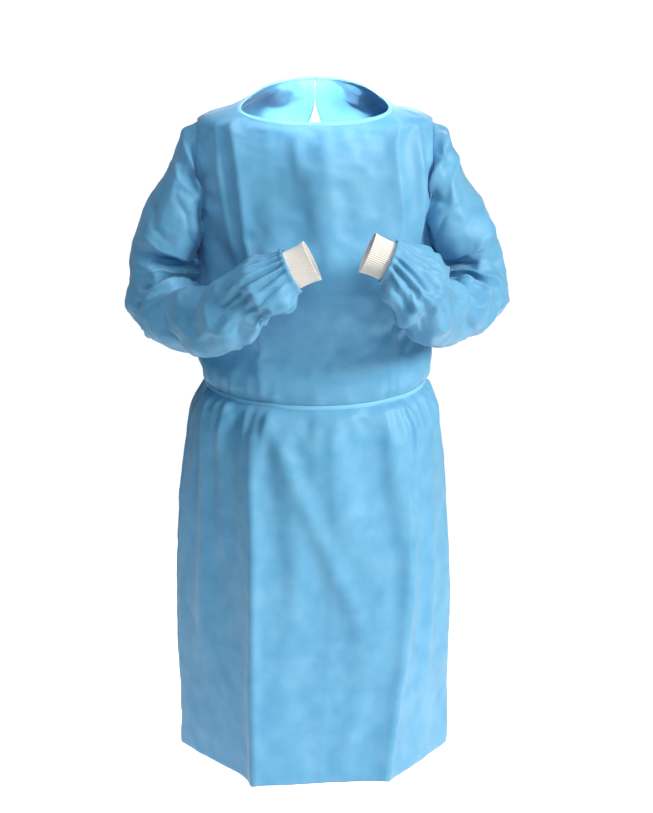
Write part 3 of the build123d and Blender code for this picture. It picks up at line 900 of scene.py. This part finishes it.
def overlock_rows(name, path, outward, body_name, closed=False):
    """Slanted stitches along the inner face of a seam."""
    inner = np.asarray(path) - unit(np.asarray(outward)) * SEAM_THICK * .55
    across = unit(np.cross(outward, along(path, closed)))
    rows = [inner + across * d for d in (-.0024, .0024)]
    item = stitches(name, rows, pitch=.0034, length=.0030, thread=.0003, lean=.6, closed=closed)
    wear(item, THREAD, body_name)


for side, column in (("right", starts[1]), ("left", starts[4])):
    sign = SIDES[side]
    clear = (armhole_reach(body[:, column]) > 1.03) & (np.arange(ROWS) > 1)
    for label, rows in (("side", clear & (body[:, column, 2] < ARMHOLE[1])),
                        ("shoulder", clear & (body[:, column, 2] > ARMHOLE[1]))):
        path, out = body[rows, column], outward_body[rows, column]
        path = path - out * .0024
        name = f"{label}_seam_cloth_{side}"
        seam = ribbon(name, path, out, SEAM_WIDTH, SEAM_THICK, OVERLOCK)
        wear(seam, OVERLOCK, "gown", [f"{label}_seam_{side}"])
        overlock_rows(f"{label}_seam_stitches_{side}", path, out, "gown")
    turn = np.linspace(0, 2 * np.pi, 140, endpoint=False)
    radial = np.stack([0 * turn, np.cos(turn) * ARMHOLE[2], np.sin(turn) * ARMHOLE[3]], axis=-1)
    ring = radial * .925 + np.array([sign * (ARMHOLE_X - .007), ARMHOLE[0], ARMHOLE[1]])
    seam = ribbon(f"armhole_seam_cloth_{side}", ring, radial, SEAM_WIDTH, SEAM_THICK, OVERLOCK, True)
    wear(seam, OVERLOCK, "gown", [f"armhole_seam_{side}"])
    overlock_rows(f"armhole_seam_stitches_{side}", ring, radial, "gown", closed=True)
    crook, out = crooks[side]
    seam = ribbon(f"underarm_seam_cloth_{side}", crook - out * .0026, out, SEAM_WIDTH * .8,
                  SEAM_THICK, OVERLOCK)
    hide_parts(f"underarm_seam_upper_{side}", f"underarm_seam_forearm_{side}")
    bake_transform(seam)

# ---- knots, tie ends and tacks ----


def behind(x, z, reach_out=.011):
    """How far back the cloth reaches round a point of the back."""
    near = (body[..., 1] > 0) & (np.hypot(body[..., 0] - x, body[..., 2] - z) < reach_out)
    near |= (body[..., 1] > 0) & (np.abs(body[..., 2] - z) < .006) & (np.abs(body[..., 0]) < .012)
    return body[..., 1][near].max()


def tied_knot(name, node_name):
    """A flat knot: one tape looped over itself and drawn tight."""
    low, high = (np.array(c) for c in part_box(node_name))
    middle, size = (low + high) / 2, (high - low) / 2
    turn = np.linspace(0, 2 * np.pi, 90, endpoint=False)
    loop = np.stack([(np.sin(turn) + 2 * np.sin(2 * turn)) / 2.75, -np.sin(3 * turn) * .75,
                     (np.cos(turn) - 2 * np.cos(2 * turn)) / 2.9], axis=-1)
    path = middle + loop * (size - np.array([.0026, .0018, .0026]))
    out = loop * .35 + np.array([0, 1.0, 0])
    knot = ribbon(name, path, out, .0050, .0021, TAPE, closed=True)
    return wear(knot, TAPE, "gown", [node_name])


ROUTES = {  # sideways and down from the knot's foot
    "neck": [(0, 0), (.003, .026), (.010, .062), (.016, .104), (.019, .150), (.025, .192),
             (.027, .226)],
    "waist": [(0, 0), (.002, .024), (.007, .060), (.014, .106), (.016, .158), (.022, .206),
              (.024, .250), (.029, .286)]}
TIE_WIDTH, TIE_THICK, TIE_LENGTHS = .007, .0014, {"neck": .2338, "waist": .2925}
for tie, route in ROUTES.items():
    knot_node = f"{tie}_tie_knot"
    tied_knot(f"{tie}_knot_tape", knot_node)
    low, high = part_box(knot_node)
    foot, knot_y = low[2] - .0008, (low[1] + high[1]) / 2
    for side, sign in SIDES.items():
        marks = np.array(route)
        flat = through(marks, np.linspace(0, len(marks) - 1, 60))
        xs, zs = sign * (.005 + flat[:, 0]), foot - flat[:, 1]
        ys = np.array([behind(x, z) for x, z in zip(xs, zs)]) + .0024
        ys = np.convolve(np.concatenate([[knot_y] * 4, ys, [ys[-1]] * 4]), np.ones(9) / 9, "valid")
        path = np.stack([xs, ys, zs], axis=-1)
        twist = np.sin(np.linspace(0, 5, 60) + sign) * .25
        out = np.stack([twist, np.ones(60), 0 * twist], axis=-1)
        tape = ribbon(f"{tie}_end_tape_{side}", path, out, TIE_WIDTH, TIE_THICK, TAPE)
        wear(tape, TAPE, "gown", [f"{tie}_tie_end_{side}"])

tacks = []
for sign in SIDES.values():
    x, y = sign * half_width(WAIST), centre_y(WAIST)
    level = WAIST + WAIST_TILT * y
    hump = np.linspace(-1, 1, 15)
    path = np.stack([x + sign * (.0006 + .0024 * (1 - hump ** 4)), y + 0 * hump,
                     level + .0062 * hump], axis=-1)
    tacks.append(ribbon("tack", path, np.array([[sign, 0, 0]] * 15), .0030, .0007, TAPE))
loops = joined("waist_tape_loops", tacks)
wear(loops, TAPE, "gown", ["waist_tie_tacks"])

# ---- cuffs ----


def cuff_tree():
    """A rib-knit tube along +Z, from a flat grid rolled round, with raised ribs."""
    tree, given, out = group_tree(
        "rib_cuff", "GeometryNodeTree",
        [("Flat", "NodeSocketGeometry", None), ("Radius", "NodeSocketFloat", .0315),
         ("Length", "NodeSocketFloat", .050), ("Ribs", "NodeSocketInt", 60),
         ("Rib Height", "NodeSocketFloat", .0005), ("Flare", "NodeSocketFloat", .0012),
         ("Finish", "NodeSocketMaterial", None)],
        [("Cuff", "NodeSocketGeometry")])
    sizes = given.outputs
    sheet = node(tree, "GeometryNodeMeshGrid", ("Size X", 1.0), ("Size Y", 1.0),
                 ("Vertices X", 361), ("Vertices Y", 34))
    where = node(tree, "GeometryNodeInputPosition")
    split = node(tree, "ShaderNodeSeparateXYZ", (0, where.outputs[0]))
    turn = maths(tree, "MULTIPLY", maths(tree, "ADD", split.outputs[0], .5), 2 * math.pi)
    height = maths(tree, "ADD", split.outputs[1], .5)
    ribs = maths(tree, "COSINE", maths(tree, "MULTIPLY", turn, sizes["Ribs"]))
    radius = maths(tree, "MULTIPLY_ADD", ribs, sizes["Rib Height"], sizes["Radius"])
    flare = maths(tree, "MULTIPLY", maths(tree, "POWER", height, 6.0), sizes["Flare"])
    waist = maths(tree, "MULTIPLY", maths(tree, "SINE", maths(tree, "MULTIPLY", height, math.pi)),
                  -.0012)
    radius = maths(tree, "ADD", maths(tree, "ADD", radius, flare), waist)
    rolled = node(tree, "ShaderNodeCombineXYZ",
                  (0, maths(tree, "MULTIPLY", radius, maths(tree, "COSINE", turn))),
                  (1, maths(tree, "MULTIPLY", radius, maths(tree, "SINE", turn))),
                  (2, maths(tree, "MULTIPLY", height, sizes["Length"])))
    shape = node(tree, "GeometryNodeSetPosition", ("Geometry", sheet.outputs["Mesh"]),
                 ("Position", rolled.outputs[0]))
    scale_uv = node(tree, "ShaderNodeVectorMath", (0, sheet.outputs["UV Map"]),
                    (1, (.198, .050, 1)), operation="MULTIPLY")
    keep_uv = node(tree, "GeometryNodeStoreNamedAttribute", ("Name", "UVMap"),
                   ("Geometry", shape.outputs[0]), ("Value", scale_uv.outputs[0]),
                   data_type="FLOAT2", domain="CORNER")
    merged = node(tree, "GeometryNodeMergeByDistance", ("Geometry", keep_uv.outputs[0]),
                  ("Distance", 1e-6))
    return dressed(tree, merged.outputs[0], given, out.inputs["Cuff"])


CUFF_TUCKED, CUFF_LENGTH, CUFF_RADIUS = .004, .046, .0312
rib_cuff = cuff_tree()
for side, sign in SIDES.items():
    centres, tangents, across, up, _, _ = sleeve_frames(side)
    axis, x_dir, y_dir = tangents[-1], across[-1], up[-1]
    item = grow(add_object(f"cuff_knit_{side}", bpy.data.meshes.new(f"cuff_knit_{side}")), rib_cuff,
                Radius=CUFF_RADIUS, Length=CUFF_LENGTH, Finish=KNIT)
    turned = Matrix(np.array([x_dir, y_dir, axis]).T.tolist()).to_4x4()
    item.data.transform(Matrix.Translation(centres[-1] - axis * CUFF_TUCKED) @ turned)
    shade_smooth(item)
    thicken(item, .0019)
    wear(item, KNIT, f"forearm_{side}", [f"knit_cuff_{side}"])
    # The gathered seam that joins the sleeve to the cuff, inside the sleeve's end.
    turn = np.linspace(0, 2 * np.pi, 160, endpoint=False)[:, None]
    radial = x_dir * np.cos(turn) + y_dir * np.sin(turn)
    ring = centres[-1] + axis * .0033 + radial * (.0331 + .0004 * np.sin(CUFF_GATHERS * turn))
    seam = ribbon(f"cuff_seam_cloth_{side}", ring, radial, .006, .0016, OVERLOCK, closed=True)
    wear(seam, OVERLOCK, f"forearm_{side}", [f"cuff_seam_{side}"])

# ---- stage, lights and camera ----
FLOOR_RADIUS, FLOOR_BELOW_HEM = 2.3, .38
bpy.ops.mesh.primitive_circle_add(vertices=96, radius=FLOOR_RADIUS, fill_type="NGON",
                                  location=(0, 0, HEM - FLOOR_BELOW_HEM))
floor = bpy.context.object
floor.name = "floor"
floor_white = plain_finish("floor_white", (.93, .93, .93, 1), .9)
floor_glow = floor_white.node_tree.nodes["Principled BSDF"]
floor_glow.inputs["Emission Color"].default_value = (1, 1, 1, 1)
floor_glow.inputs["Emission Strength"].default_value = .66
floor.data.materials.append(floor_white)

world = bpy.data.worlds.new("studio")
bpy.context.scene.world = world
world.use_nodes = True
sky = world.node_tree
seen = sky.nodes["Background"]
seen.inputs[0].default_value = (1, 1, 1, 1)
seen.inputs[1].default_value = 1.05
fill = node(sky, "ShaderNodeBackground", (0, (.38, .80, 1, 1)), (1, .12))
ray = node(sky, "ShaderNodeLightPath")
either = node(sky, "ShaderNodeMixShader", (0, ray.outputs["Is Camera Ray"]),
              (1, fill.outputs[0]), (2, seen.outputs[0]))
sky.links.new(either.outputs[0], sky.nodes["World Output"].inputs["Surface"])


def soft_light(name, place, target, size, power, colour=(1, 1, 1), spread=180):
    data = bpy.data.lights.new(name, "AREA")
    data.shape, data.size, data.energy = "DISK", size, power
    data.color, data.spread = colour, math.radians(spread)
    lamp = add_object(name, data)
    lamp.location = place
    lamp.rotation_euler = (Vector(target) - Vector(place)).to_track_quat("-Z", "Y").to_euler()


soft_light("key", (3.0, -1.9, 1.3), (0, 0, -.45), 1.3, 215, (1, .89, .78))
soft_light("front", (.5, -3.0, 1.4), (0, 0, -.4), 1.2, 32, (1, .96, .90))
soft_light("overhead", (-.8, -.7, 2.6), (0, -.1, -.2), 1.4, 42)
soft_light("back", (.2, 2.7, 1.0), (0, 0, -.35), 1.5, 50)
soft_light("collar", (.05, -1.5, 1.15), (0, .10, -.02), .20, .7, spread=8)

CAMERA_DOWN = math.radians(15.1)       # how far below level the camera looks
camera = add_object("camera", bpy.data.cameras.new("camera"))
camera.location = (.0185, -3.6, .45)
camera.rotation_euler = (math.pi / 2 - CAMERA_DOWN, 0, 0)
camera.data.lens, camera.data.sensor_width = 99.2, 36
bpy.context.scene.camera = camera
bpy.context.scene.view_settings.view_transform = "Standard"
